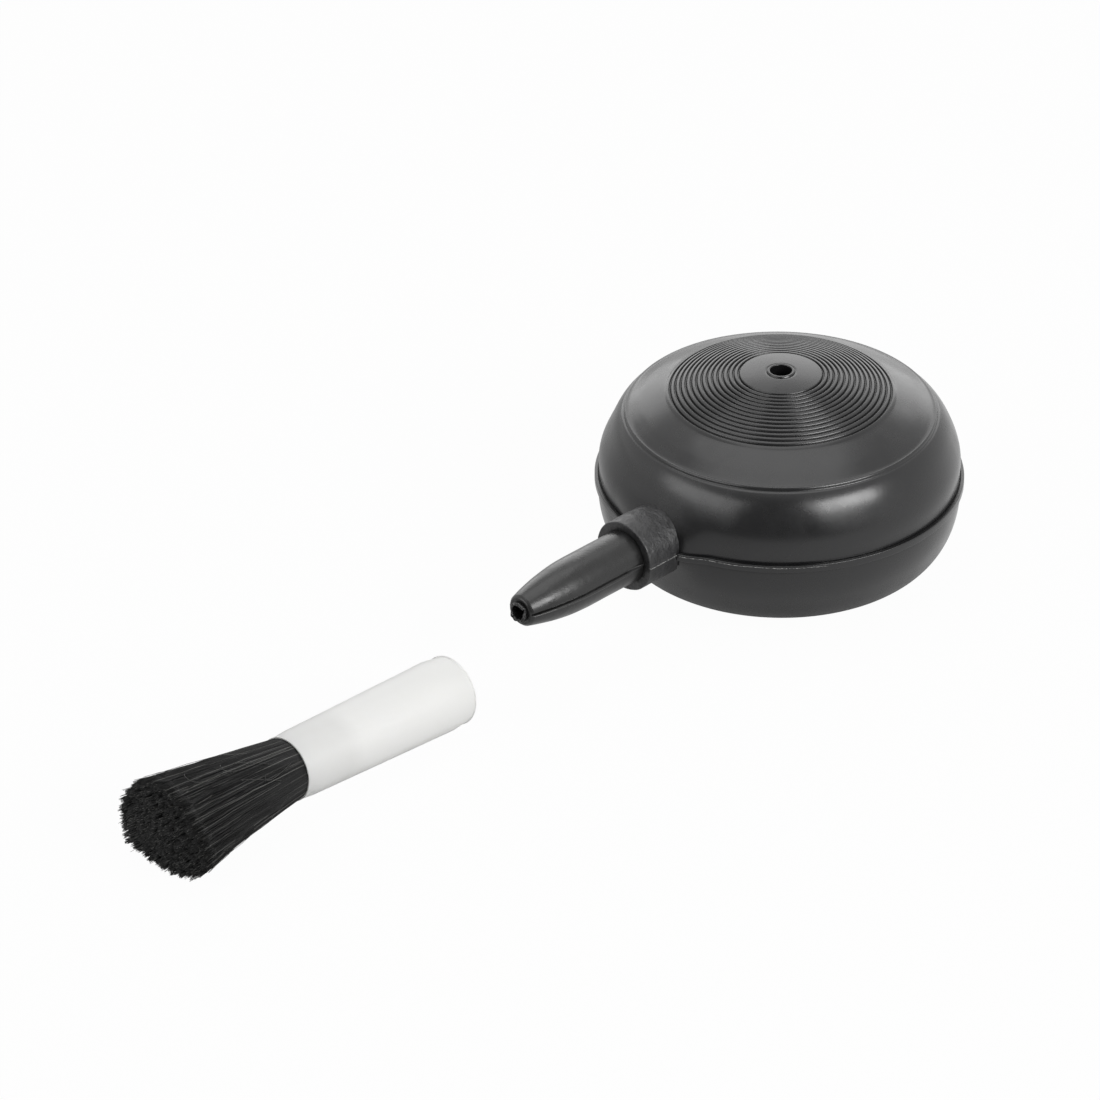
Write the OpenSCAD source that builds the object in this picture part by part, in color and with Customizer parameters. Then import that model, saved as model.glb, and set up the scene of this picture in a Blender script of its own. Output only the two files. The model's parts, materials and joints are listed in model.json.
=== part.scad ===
// Lens blower brush: a flat squeeze bulb with a soft nozzle, and the push-on brush taken off and laid in front.
// The base of the bulb rests on z = 0, the bulb's axis is Z and the nozzle points along -X.

/* [Bulb] */
// Radius of the moulding lip round the middle
lip_r = 26.1; // [21.7:0.1:32]
// Height of the lip, and of the nozzle's axis, above the base
mid_h = 14.05; // [11.7:0.05:18]
// How far the lip stands out from the widest part of the wall
lip_stand = 0.5; // [0.3:0.05:1]
// Thickness of the lip
lip_t = 1.6; // [1:0.1:2.4]
// Thickness of the moulded wall
wall = 1.6; // [1.2:0.1:2]
// How far the shoulder curls in from the wall to its crest
round_r = 6.6; // [5.5:0.1:8]
// Height of the shoulder's curve above its widest level
shoulder_h = 8.4; // [7:0.1:10.5]
// How far the bowl's curve, carried on to its lowest point, stays above the base
bowl_lift = 2.45; // [1.8:0.05:3.5]
// Radius of the flat that the bulb rests on
foot_r = 9; // [6:0.5:12]

/* [Top plate] */
// How far the thin bead round the top plate lies in from the wall
bead_in = 3.5; // [3.1:0.1:5]
// How much higher the middle of the plate is than its bead
crown_rise = 6.3; // [4.5:0.1:7.6]
// Width of the bead
bead_w = 0.7; // [0.4:0.05:1]
// Height of the bead
bead_h = 0.22; // [0.1:0.02:0.4]
// Gap between the plate and the shoulder round it
plate_gap = 0.3; // [0.2:0.05:0.5]
// Number of grip grooves
grooves = 14; // [6:1:16]
// Radius of the smallest groove
groove_first_r = 5.95; // [4:0.05:6.5]
// Distance from one groove to the next
groove_pitch = 0.74; // [0.6:0.002:0.92]
// Width of a groove
groove_w = 0.36; // [0.2:0.02:0.44]
// Depth of a groove
groove_depth = 0.35; // [0.1:0.05:0.5]
// Height of the grooved area above the plate round it
plateau_h = 0.18; // [0.1:0.02:0.3]
// Radius of the air intake hole
intake_r = 1.45; // [1:0.05:2]
// Width of the raised rim round the intake hole
rim_w = 0.5; // [0.3:0.05:0.8]
// Height of that rim
rim_h = 0.15; // [0.05:0.05:0.3]

/* [Nozzle] */
// How far the neck collar stands out round the nozzle's root
collar_step = 1.3; // [1.05:0.05:2]
// How far the collar's face stands out from the lip
collar_out = 5.7; // [4:0.1:8]
// Length of the nozzle in front of the collar
nozzle_len = 21.2; // [17.6:0.1:26]
// Radius of the nozzle's straight root
nozzle_r = 3.85; // [3.2:0.05:4.65]
// Radius of the nozzle at its tip
tip_r = 2.0; // [1.65:0.05:2.4]
// How much slimmer the nozzle is where it passes through the collar
spigot_step = 0.65; // [0.5:0.05:0.9]
// Length of the nozzle's curved nose
nose_len = 12; // [9:0.5:14.5]
// Radius of the rounding at the very tip
tip_round = 0.5; // [0.3:0.05:0.6]
// Radius of the outlet in the tip
outlet_r = 1.0; // [0.7:0.05:1.1]
// Length of the outlet
outlet_len = 3; // [2:0.5:4]
// Wall of the nozzle round the air passage, where it passes through the collar
passage_wall = 0.9; // [0.7:0.05:1.2]

/* [Brush] */
// Wall of the ferrule at its open end
mouth_wall = 1.25; // [1:0.05:1.6]
// Wall of the ferrule round the bristles
front_wall = 0.5; // [0.4:0.05:0.8]
// Length of the ferrule's bristle end, in front of the socket
front_len = 10.2; // [8.5:0.1:13]
// Gap between the nozzle's root and the ferrule's socket
push_gap = 0.1; // [0.05:0.05:0.3]
// Room in front of the nozzle's tip when the brush is pushed right on
tip_room = 0.3; // [0.2:0.05:1]
// How much wider the bristle end is inside than the socket
ledge = 0.25; // [0.2:0.05:0.3]
// Length of the bristles in front of the ferrule
bristle_len = 24.3; // [19:0.1:29.2]
// How far the bristles spread from their root to their cut ends
spread = 3.7; // [2.6:0.1:5]
// Length of the glue plug behind the bristles
glue_len = 3; // [2:0.5:3.5]
// Length of the thread binding round the bristle roots
thread_len = 2; // [1.5:0.5:2.5]
// Thickness of that binding
thread_t = 0.5; // [0.3:0.1:0.8]
// Outer radius of the air tube through the bristles
tube_r = 1.0; // [0.8:0.1:1.3]
// Wall of the air tube
tube_wall = 0.25; // [0.2:0.05:0.35]
// How far the air tube reaches out of the ferrule
tube_out = 4; // [2:0.5:8]

/* [Where the brush lies] */
// Distance from the nozzle's tip to the ferrule's open end
brush_gap = 10.5; // [8:0.5:30]
// How far the brush lies to the side of the nozzle's line
brush_side = 2.5; // [0:0.5:6]

/* [Hidden] */
$fn = 96;
arc_steps = 16;

// Bulb: the wall is widest a little above and below the lip, where the two curves start.
wall_r = lip_r - lip_stand;
round_in = wall_r - round_r;
shoulder_z = mid_h + 2.8;
bowl_z = mid_h - 1.8;
bowl_h = bowl_z - bowl_lift;
shoulder_from = -13;
bowl_from = 8;
bowl_to = -73;
lip_round = lip_t / 5;
// Height of the shoulder's curve at a radius
function shoulder_at(r) = shoulder_z + shoulder_h * sqrt(1 - pow((r - round_in) / round_r, 2));

// Top plate: part of a sphere that runs through the bead.
bead_r = wall_r - bead_in;
bead_z = shoulder_at(bead_r);
crown_z = bead_z + crown_rise;
plate_ball = (pow(bead_r, 2) + pow(crown_rise, 2)) / (2 * crown_rise);
plate_r = bead_r + bead_w / 2;
well_r = plate_r + plate_gap;
groove_last_r = groove_first_r + (grooves - 1) * groove_pitch;
plateau_r = groove_last_r + groove_w / 2 + groove_pitch / 3;
// Height of the plain plate at a radius, and of its underside
function plate_at(r) = crown_z - plate_ball + sqrt(pow(plate_ball, 2) - pow(r, 2));
function plate_under(r) = crown_z - plate_ball + sqrt(pow(plate_ball - wall, 2) - pow(r, 2));

// Nozzle: distances along its axis are measured out from the bulb's axis.
collar_r = nozzle_r + collar_step;
spigot_r = nozzle_r - spigot_step;
passage_r = spigot_r - passage_wall;
collar_x = lip_r + collar_out;
tip_x = collar_x + nozzle_len;
neck_in = wall_r - wall - 0.8;
passage_taper = 3;
// Radius of the nose at a distance from the tip
function nose_at(s) = tip_r + (nozzle_r - tip_r) * (1 - pow(1 - s / nose_len, 2));

// Brush: distances along its axis are measured from the ferrule's open end.
// The bristles' last stretch is chamfered.
socket_r = nozzle_r + push_gap;
root_r = socket_r + ledge;
ferrule_r = socket_r + mouth_wall;
ferrule_front_r = root_r + front_wall;
tuft_r = root_r + spread;
socket_depth = nozzle_len + tip_room;
ferrule_len = socket_depth + front_len;
glue_to = socket_depth + glue_len;
thread_from = glue_to + 1;
thread_to = thread_from + thread_len;
tube_to = ferrule_len + tube_out;
brush_len = ferrule_len + bristle_len;
tuft_edge = 0.8;
brush_tilt = atan((tuft_r - ferrule_r) / (brush_len - tuft_edge));
mouth_chamfer = 0.25;

// Points along part of an ellipse
function curve(cr, cz, a, b, from, to) =
    [for (i = [0:arc_steps]) let (t = from + (to - from) * i / arc_steps) [cr + a * cos(t), cz + b * sin(t)]];

// Points from the edge of the bowl in to the flat, level where they meet it
function under_curve(edge, floor_z) =
    let (run = edge[0] - foot_r, rise = edge[1] - floor_z, ball = (run * run + rise * rise) / (2 * rise))
    [for (i = [1:arc_steps]) let (r = edge[0] - run * i / arc_steps)
        [r, floor_z + ball - sqrt(ball * ball - pow(r - foot_r, 2))]];

// The stretch of wall that the neck passes through
module neck_cut() {
    rotate([0, -90, 0])
        cylinder(r = collar_r, h = collar_x);
}

// Everything on the nozzle is turned from +Z to -X at the height of the lip
module on_neck() {
    translate([0, 0, mid_h])
        rotate([0, -90, 0])
            children();
}

// Everything on the brush is turned from +Z to lie along -X, resting on its mouth and on its bristle ends
module on_brush() {
    translate([-tip_x - brush_gap, brush_side, ferrule_r * cos(brush_tilt)])
        rotate([0, brush_tilt - 90, 0])
            children();
}

// Bowl-shaped lower half of the bulb, with the lower half of the lip
module lower_shell() {
    outer = curve(round_in, bowl_z, round_r, bowl_h, bowl_from, bowl_to);
    inner = curve(round_in, bowl_z, round_r - wall, bowl_h - wall, 0, bowl_to);
    outer_edge = outer[arc_steps];
    inner_edge = inner[arc_steps];
    inner_floor = under_curve(inner_edge, wall);
    color("#242424")
        difference() {
            rotate_extrude()
                polygon(concat(
                    [[wall_r - wall, mid_h], [lip_r, mid_h], [lip_r, mid_h - lip_t / 2 + lip_round],
                     [lip_r - lip_round, mid_h - lip_t / 2]],
                    outer, under_curve(outer_edge, 0), [[0, 0], [0, wall]],
                    [for (i = [arc_steps - 1:-1:0]) inner_floor[i]],
                    [for (i = [arc_steps:-1:0]) inner[i]]));
            translate([0, 0, mid_h])
                neck_cut();
        }
}

// Rounded shoulder of the bulb, from the lip up to the well that the top plate sits in
module upper_shell() {
    outer_to = acos((well_r - round_in) / round_r);
    inner_to = acos((well_r - round_in) / (round_r - wall));
    outer = curve(round_in, shoulder_z, round_r, shoulder_h, shoulder_from, outer_to);
    inner = curve(round_in, shoulder_z, round_r - wall, shoulder_h - wall, 0, inner_to);
    color("#2a2a2a")
        difference() {
            rotate_extrude()
                polygon(concat(
                    [[wall_r - wall, mid_h], [lip_r, mid_h], [lip_r, mid_h + lip_t / 2 - lip_round],
                     [lip_r - lip_round, mid_h + lip_t / 2]],
                    outer,
                    [for (i = [arc_steps:-1:0]) inner[i]]));
            translate([0, 0, mid_h])
                neck_cut();
        }
}

// Domed top plate that the thumb presses, with its bead, grip grooves and air intake
module press_pad() {
    step = groove_pitch / 8;
    rim_r = intake_r + rim_w;
    ribs = [for (i = [0:grooves - 1], p = [[-1, 0], [-0.6, 1], [0.6, 1], [1, 0]])
        let (r = groove_first_r + i * groove_pitch + p[0] * groove_w / 2)
        [r, plate_at(r) + plateau_h - p[1] * groove_depth]];
    top = concat(
        [[intake_r, plate_at(intake_r) + plateau_h + rim_h], [rim_r - step, plate_at(rim_r) + plateau_h + rim_h],
         [rim_r, plate_at(rim_r) + plateau_h]],
        ribs,
        [[plateau_r, plate_at(plateau_r) + plateau_h], [plateau_r + plateau_h, plate_at(plateau_r + plateau_h)]],
        [for (i = [1:arc_steps])
            let (r = plateau_r + plateau_h + (bead_r - bead_w / 2 - plateau_r - plateau_h) * i / arc_steps)
            [r, plate_at(r)]],
        [[bead_r - bead_w / 4, plate_at(bead_r) + bead_h], [bead_r + bead_w / 4, plate_at(bead_r) + bead_h],
         [plate_r, plate_at(plate_r)]]);
    under = [for (i = [arc_steps:-1:0])
        let (r = intake_r + (plate_r - intake_r) * i / arc_steps) [r, plate_under(r)]];
    color("#303030")
        rotate_extrude()
            polygon(concat(top, under));
}

// Thick collar of the neck, from inside the bulb's wall out to its flat face
module neck_collar() {
    color("#1e1e1e")
        on_neck()
            difference() {
                translate([0, 0, neck_in])
                    cylinder(r = collar_r, h = collar_x - neck_in);
                cylinder(r = spigot_r, h = collar_x + 1);
            }
}

// Bullet-shaped soft nozzle with its air passage
module nozzle() {
    nose_from = tip_x - tip_round;
    outlet_x = tip_x - outlet_len;
    color("#222222")
        on_neck()
            rotate_extrude()
                polygon(concat(
                    [[passage_r, neck_in], [spigot_r, neck_in], [spigot_r, collar_x], [nozzle_r, collar_x]],
                    [for (i = [arc_steps:-1:0])
                        let (s = tip_round + (nose_len - tip_round) * i / arc_steps) [nose_at(s), tip_x - s]],
                    curve(nose_at(tip_round) - tip_round, nose_from, tip_round, tip_round, 30, 90),
                    [[outlet_r, tip_x], [outlet_r, outlet_x], [passage_r, outlet_x - passage_taper]]));
}

// White tapered tube that carries the bristles and pushes on to the nozzle
module ferrule() {
    color("#ececea")
        on_brush()
            difference() {
                cylinder(r1 = ferrule_r, r2 = ferrule_front_r, h = ferrule_len);
                translate([0, 0, -1])
                    cylinder(r = socket_r, h = socket_depth + 1);
                translate([0, 0, socket_depth])
                    cylinder(r = root_r, h = ferrule_len);
                translate([0, 0, -mouth_chamfer])
                    cylinder(r1 = socket_r + 2 * mouth_chamfer, r2 = socket_r, h = 2 * mouth_chamfer);
            }
}

// Plug of glue that closes the socket and holds the bristle roots
module bristle_glue() {
    color("#b9b28f")
        on_brush()
            difference() {
                translate([0, 0, socket_depth])
                    cylinder(r = root_r, h = glue_len);
                cylinder(r = tube_r, h = ferrule_len);
            }
}

// Turns of thread round the bristle roots
module binding_thread() {
    color("#8a8579")
        on_brush()
            difference() {
                translate([0, 0, thread_from])
                    cylinder(r = root_r, h = thread_len);
                cylinder(r = root_r - thread_t, h = ferrule_len);
            }
}

// Thin tube that brings the air through the glue and the bristle roots
module air_tube() {
    color("#c8c8c8")
        on_brush()
            difference() {
                translate([0, 0, socket_depth])
                    cylinder(r = tube_r, h = tube_to - socket_depth);
                cylinder(r = tube_r - tube_wall, h = tube_to + 1);
            }
}

// The bristles as one body: bound at the root, then spreading to their cut ends
module bristles() {
    waist_r = root_r - thread_t;
    color("#161616")
        on_brush()
            rotate_extrude()
                polygon(concat(
                    [[tube_r, glue_to], [root_r, glue_to], [root_r, thread_from], [waist_r, thread_from],
                     [waist_r, thread_to], [root_r, thread_to]],
                    [for (i = [0:arc_steps])
                        let (t = i / arc_steps)
                        [root_r + spread * (0.85 * t + 0.15 * t * t), ferrule_len + (bristle_len - tuft_edge) * t]],
                    [[tuft_r - tuft_edge, brush_len], [0, brush_len], [0, tube_to], [tube_r, tube_to]]));
}

lower_shell();
upper_shell();
press_pad();
neck_collar();
nozzle();
ferrule();
bristle_glue();
binding_thread();
air_tube();
bristles();
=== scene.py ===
import json
import math
import random
from functools import partial

import bmesh
import bpy
from mathutils import Matrix, Vector, noise


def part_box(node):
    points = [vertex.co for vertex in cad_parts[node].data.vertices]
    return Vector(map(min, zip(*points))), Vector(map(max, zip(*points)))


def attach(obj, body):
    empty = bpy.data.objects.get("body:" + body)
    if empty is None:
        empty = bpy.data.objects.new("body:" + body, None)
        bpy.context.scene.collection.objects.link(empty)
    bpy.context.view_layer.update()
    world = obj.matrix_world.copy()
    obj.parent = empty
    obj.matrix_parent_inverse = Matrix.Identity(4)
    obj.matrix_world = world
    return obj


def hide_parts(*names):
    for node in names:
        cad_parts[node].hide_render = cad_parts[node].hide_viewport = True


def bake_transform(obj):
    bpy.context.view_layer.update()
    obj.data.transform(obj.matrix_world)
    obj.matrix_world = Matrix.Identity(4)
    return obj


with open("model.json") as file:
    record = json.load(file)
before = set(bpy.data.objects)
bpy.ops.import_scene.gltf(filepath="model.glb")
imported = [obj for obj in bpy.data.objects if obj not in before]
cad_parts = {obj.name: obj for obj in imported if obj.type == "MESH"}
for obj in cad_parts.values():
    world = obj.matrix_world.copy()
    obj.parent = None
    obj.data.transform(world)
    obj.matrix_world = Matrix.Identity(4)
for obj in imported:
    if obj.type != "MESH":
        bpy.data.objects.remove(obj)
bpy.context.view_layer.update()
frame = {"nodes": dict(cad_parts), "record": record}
mounts = {mount["name"]: mount for mount in frame["record"]["mounts"]}
mm = 0.001


# Driving sizes, read from the frame in millimetres
def corner(node, end, axis):
    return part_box(node)[end][axis] / mm


middle = corner("lower_shell", 1, 2)  # height of the parting plane and of the nozzle's axis
lipRadius = corner("lower_shell", 1, 1)
nozzleTip = -corner("nozzle", 0, 0)
collarFace = -corner("neck_collar", 0, 0)
collarRadius = corner("neck_collar", 1, 1)
socket = mounts["ferrule_socket"]
brushAxis = -Vector(socket["axis"])
brushMouth = Vector(socket["pos_m"]) / mm - brushAxis * socket["dims"]["length_mm"] / 2

neckFrame = Matrix.Translation((0, 0, middle)) @ Matrix.Rotation(math.radians(-90), 4, "Y")
brushFrame = Matrix.Translation(brushMouth) @ Matrix.Rotation(-math.acos(brushAxis.z), 4, "Y")
bulbFrame = Matrix.Identity(4)


def linearColour(hexCode):  # sRGB hex to linear
    parts = [int(hexCode[i:i + 2], 16) / 255 for i in (1, 3, 5)]
    return [c / 12.92 if c <= 0.04045 else ((c + 0.055) / 1.055) ** 2.4 for c in parts] + [1]


# An input is a value, a socket to link from, or a node that stands for its first output. A list fills
# the first inputs in order. A plain word as settings is the operation. A kind without Node is a ShaderNode.
def addNode(tree, kind, settings={}, inputs={}):
    node = tree.nodes.new(kind if "Node" in kind else "ShaderNode" + kind)
    for name, value in ({"operation": settings} if isinstance(settings, str) else settings).items():
        setattr(node, name, value)
    for key, value in (enumerate(inputs) if isinstance(inputs, list) else inputs.items()):
        if isinstance(value, bpy.types.Node):
            value = value.outputs[0]
        if isinstance(value, bpy.types.NodeSocket):
            tree.links.new(value, node.inputs[key])
        else:
            node.inputs[key].default_value = value
    return node


def newMaterial(name):
    material = bpy.data.materials.new(name)
    material.use_nodes = True
    material.node_tree.nodes.clear()
    return material, partial(addNode, material.node_tree)


def setRamp(node, stops):
    ramp = node.color_ramp
    while len(ramp.elements) < len(stops):
        ramp.elements.new(0.5)
    for element, (place, shade) in zip(ramp.elements, stops):
        element.position = place
        element.color = (shade, shade, shade, 1)
    return node


def newObject(name, data):
    item = bpy.data.objects.new(name, data)
    bpy.context.scene.collection.objects.link(item)
    return item


def newGroup(name, numbers, takesShape):  # a geometry node group with an input for every number
    tree = bpy.data.node_groups.new(name, "GeometryNodeTree")
    if takesShape:
        tree.interface.new_socket("Geometry", in_out="INPUT", socket_type="NodeSocketGeometry")
    for label, value in numbers.items():
        kind = "NodeSocketInt" if isinstance(value, int) else "NodeSocketFloat"
        tree.interface.new_socket(label, in_out="INPUT", socket_type=kind)
    tree.interface.new_socket("Geometry", in_out="OUTPUT", socket_type="NodeSocketGeometry")
    add = partial(addNode, tree)
    return tree, add, add("NodeGroupInput").outputs


def direction(azimuth, elevation):  # in degrees: azimuth 0 is the front, seen from -Y
    turn, lift = math.radians(azimuth), math.radians(elevation)
    return Vector((math.sin(turn) * math.cos(lift), -math.cos(turn) * math.cos(lift), math.sin(lift)))


def ellipseArc(centre, radii, start, end, steps):
    angles = [math.radians(start + (end - start) * i / steps) for i in range(steps + 1)]
    return [(centre[0] + radii[0] * math.cos(a), centre[1] + radii[1] * math.sin(a)) for a in angles]


def rounded(points, steps=4):  # points are (radius, height, how far back from the corner its rounding starts)
    result = []
    for i, (radius, height, cut) in enumerate(points):
        here = Vector((radius, height))
        if not cut:
            result.append((radius, height))
            continue
        before = Vector(points[i - 1][:2]) - here
        after = Vector(points[(i + 1) % len(points)][:2]) - here
        start, end = here + before.normalized() * cut, here + after.normalized() * cut
        for j in range(steps + 1):
            t = j / steps
            spot = start * (1 - t) ** 2 + here * 2 * t * (1 - t) + end * t ** 2
            result.append((spot.x, spot.y))
    return result


def turned(name, outline, angles, place, shift=None):  # a closed outline turned round the frame's own Z axis
    points, faces, rings = [], [], []
    for radius, height in outline:
        ring = [0] if radius < 1e-6 else angles
        rings.append(range(len(points), len(points) + len(ring)))
        for angle in ring:
            spot = Vector((radius * math.cos(angle), radius * math.sin(angle), height))
            points.append(shift(spot, radius, angle) if shift else spot)
    for i, ring in enumerate(rings):
        after = rings[(i + 1) % len(rings)]
        for j in range(len(angles)):
            k = (j + 1) % len(angles)
            corners = [ring[j % len(ring)], ring[k % len(ring)], after[k % len(after)], after[j % len(after)]]
            corners = list(dict.fromkeys(corners))
            if len(corners) > 2:
                faces.append(corners)
    mesh = bpy.data.meshes.new(name)
    mesh.from_pydata([place @ p for p in points], [], faces)
    return mesh


def sideFaces(first, last, sides):  # between rings of points that follow each other
    return [(i + j, i + (j + 1) % sides, i + sides + (j + 1) % sides, i + sides + j)
            for i in range(first, last, sides) for j in range(sides)]


def evenAngles(count):
    return [2 * math.pi * i / count for i in range(count)]


def closeShell(mesh):  # outward normals on a closed mesh, and smooth shading
    shell = bmesh.new()
    shell.from_mesh(mesh)
    bmesh.ops.remove_doubles(shell, verts=shell.verts, dist=1e-5)
    bmesh.ops.recalc_face_normals(shell, faces=shell.faces)
    if shell.calc_volume(signed=True) < 0:
        bmesh.ops.reverse_faces(shell, faces=shell.faces)
    shell.to_mesh(mesh)
    shell.free()
    mesh.shade_smooth()


def addPiece(name, mesh, materials, sharpAngle=40):
    mesh.transform(Matrix.Scale(mm, 4))
    piece = newObject(name, mesh)
    mesh.materials.clear()
    for material in materials:
        mesh.materials.append(material)
    if sharpAngle:
        mesh.set_sharp_from_angle(angle=math.radians(sharpAngle))
    return piece


def applyModifiers(piece):  # turns what the modifiers make into the piece's plain mesh
    depsgraph = bpy.context.evaluated_depsgraph_get()
    result = bpy.data.meshes.new_from_object(piece.evaluated_get(depsgraph))
    piece.modifiers.clear()
    piece.data = result
    return result


# Camera
cameraPlace = {
    "target": (-33.1, 13, 10.15),
    "distance": 1200,
    "azimuth": -45.78,
    "elevation": 31.05,
    "lens": 280.4,
}


def makeCamera(sizes):
    back = direction(sizes["azimuth"], sizes["elevation"])
    data = bpy.data.cameras.new("camera")
    data.lens = sizes["lens"]
    data.clip_start, data.clip_end = 0.05, 20
    camera = newObject("camera", data)
    camera.location = (Vector(sizes["target"]) + back * sizes["distance"]) * mm
    camera.rotation_euler = (-back).to_track_quat("-Z", "Y").to_euler()
    bpy.context.scene.camera = camera


makeCamera(cameraPlace)
print("camera placed")

# Studio: a white room that is darker on the side the object faces, soft boxes above, behind and to the sides
studio = {
    "roomLight": 0.06,  # what the room gives matt surfaces
    "darkSide": 0.24,  # how bright the darker side is in reflections
    "darkFrom": 0.3,  # where the dark side starts and is full, as the cosine to its middle
    "darkFull": 0.85,
    "darkMiddle": (-0.87, -0.48, 0.08),
    "floorGlow": 0.97,  # share of the floor that is plain white, the rest takes shadows
    "mirrorShare": 0.85,  # share of the floor in reflections that glows with painted light and shade, the rest takes shadows
    "paintedLightRight": 1.1,  # painted brightness of the floor in reflections: painted light on the right, painted shade on the left, darker far out
    "paintedShadeLeft": 0.74,
    "mirrorFar": 0.2,
    "mirrorSide": (-0.7, 0.71, 0),  # which way left is
    "mirrorTurn": 0.05,  # metres from the bulb where left and far out start, and where far out is reached
    "mirrorEnd": 0.22,
    "paintedShadowReach": 0.007,  # how close above the floor something has to be to cast a painted contact shadow on it in reflections
    "floorSize": 3.0,
}
softBoxes = {  # azimuth and elevation of its middle, distance, width and height in metres, brightness
    "softBoxRight": (-1, 30, 0.9, 0.59, 0.33, 10.0),
    "softBoxLeft": (-103, 29, 0.9, 0.85, 0.42, 2.6),
    "softBoxTop": (140, 82, 0.9, 0.8, 0.8, 1.15),
    "softBoxBack": (134, 18, 1.2, 1.5, 0.85, 1.35),
}


def makeStudio(sizes, boxes):
    world = bpy.data.worlds.new("studioRoom")
    bpy.context.scene.world = world
    world.use_nodes = True
    world.node_tree.nodes.clear()
    add = partial(addNode, world.node_tree)
    path = add("LightPath")
    place = add("TexCoord")
    facing = add("VectorMath", "DOT_PRODUCT",
                 [place.outputs["Generated"], Vector(sizes["darkMiddle"]).normalized()])
    dark = add("MapRange", {"interpolation_type": "SMOOTHSTEP"},
               {"Value": facing.outputs["Value"], "From Min": sizes["darkFrom"],
                "From Max": sizes["darkFull"], "To Min": 1.0, "To Max": sizes["darkSide"]})
    notGlossy = add("Math", "SUBTRACT", [1.0, path.outputs["Is Glossy Ray"]])
    reflected = add("Math", "MAXIMUM", [notGlossy, dark])
    white = add("Math", "MAXIMUM", [path.outputs["Is Camera Ray"], path.outputs["Is Glossy Ray"]])
    seen = add("Math", "MAXIMUM", [white, path.outputs["Is Transmission Ray"]])
    level = add("MapRange", {}, {"Value": seen, "To Min": sizes["roomLight"], "To Max": 1.0})
    strength = add("Math", "MULTIPLY", [level, reflected])
    background = add("Background", {}, {"Color": linearColour("#ffffff"), "Strength": strength})
    add("OutputWorld", {}, {"Surface": background})

    for name, (azimuth, elevation, distance, width, height, brightness) in boxes.items():
        away = direction(azimuth, elevation)
        data = bpy.data.lights.new(name, "AREA")
        data.shape = "RECTANGLE"
        data.size, data.size_y = width, height
        data.energy = brightness * math.pi * width * height
        lamp = newObject(name, data)
        lamp.location = away * distance
        lamp.rotation_euler = away.to_track_quat("Z", "Y").to_euler()
        lamp.visible_camera = False

    # White paper sweep: plain white where it is looked at, and matt where light falls on it. In reflections
    # it glows with painted light and shade: brighter on the right, darker on the left and far out, with a
    # painted contact shadow close under the bulb
    paper, add = newMaterial("paperWithPaintedReflections")
    path = add("LightPath")
    matt = add("BsdfDiffuse", {}, {"Color": linearColour("#d6d6d6")})
    place = add("TexCoord")
    ahead = add("VectorMath", "DOT_PRODUCT",
                [place.outputs["Object"], Vector(sizes["darkMiddle"]).normalized()])
    aside = add("VectorMath", "DOT_PRODUCT",
                [place.outputs["Object"], Vector(sizes["mirrorSide"]).normalized()])
    near = add("MapRange", {"interpolation_type": "SMOOTHSTEP"},
               {"Value": aside.outputs["Value"], "From Min": -sizes["mirrorTurn"],
                "From Max": sizes["mirrorTurn"], "To Min": sizes["paintedLightRight"],
                "To Max": sizes["paintedShadeLeft"]})
    far = add("MapRange", {"interpolation_type": "SMOOTHSTEP"},
              {"Value": ahead.outputs["Value"], "From Min": sizes["mirrorTurn"],
               "From Max": sizes["mirrorEnd"], "To Min": sizes["paintedLightRight"], "To Max": sizes["mirrorFar"]})
    nearOrFar = add("Math", "MINIMUM", [near, far])
    # painted contact shadow: the glow seen in reflections darkens where something is close above the floor
    shade = add("AmbientOcclusion", {"samples": 4}, {"Distance": sizes["paintedShadowReach"]})
    paintedMirrorLight = add("Math", "MULTIPLY", [nearOrFar, shade.outputs["AO"]])
    brightness = add("MapRange", {},
                     {"Value": path.outputs["Is Glossy Ray"], "To Min": 1.0, "To Max": paintedMirrorLight})
    glow = add("Emission", {}, {"Color": linearColour("#ffffff"), "Strength": brightness})
    looked = add("Math", "MAXIMUM", [path.outputs["Is Camera Ray"], path.outputs["Is Transmission Ray"]])
    seen = add("Math", "MULTIPLY", [looked, sizes["floorGlow"]])
    mirrored = add("Math", "MULTIPLY", [path.outputs["Is Glossy Ray"], sizes["mirrorShare"]])
    share = add("Math", "MAXIMUM", [seen, mirrored])
    mixed = add("MixShader", {}, [share, matt, glow])
    add("OutputMaterial", {}, {"Surface": mixed})
    half = sizes["floorSize"] / 2
    mesh = bpy.data.meshes.new("floor")
    mesh.from_pydata([(-half, -half, 0), (half, -half, 0), (half, half, 0), (-half, half, 0)], [],
                     [(0, 1, 2, 3)])
    mesh.transform(Matrix.Translation((0, 0, -0.02 * mm)))
    mesh.materials.append(paper)
    newObject("floor", mesh)


makeStudio(studio, softBoxes)
bpy.context.scene.view_settings.view_transform = "Standard"
print("studio lit")


# Plasticised PVC, rotation moulded: satin black, with a faint grain and cloudy changes of gloss.
# The clouds, the grain and the height of its bumps are in millimetres.
def satinPvc(name, colour, roughness, index, cloud, grain, bump):
    material, add = newMaterial(name)
    place = add("TexCoord")
    clouds = add("TexNoise", {},
                 {"Vector": place.outputs["Object"], "Scale": 1 / (cloud * mm), "Detail": 4.0,
                  "Roughness": 0.55})
    fine = add("TexNoise", {},
               {"Vector": place.outputs["Object"], "Scale": 1 / (grain * mm), "Detail": 3.0,
                "Roughness": 0.6})
    gloss = add("MapRange", {},
                {"Value": clouds, "From Min": 0.3, "From Max": 0.7, "To Min": roughness * 0.78,
                 "To Max": roughness * 1.25})
    relief = add("Bump", {}, {"Height": fine, "Strength": 1.0, "Distance": bump * mm})
    surface = add("BsdfPrincipled", {},
                  {"Base Color": linearColour(colour), "Roughness": gloss, "IOR": index, "Normal": relief})
    add("OutputMaterial", {}, {"Surface": surface})
    return material


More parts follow.
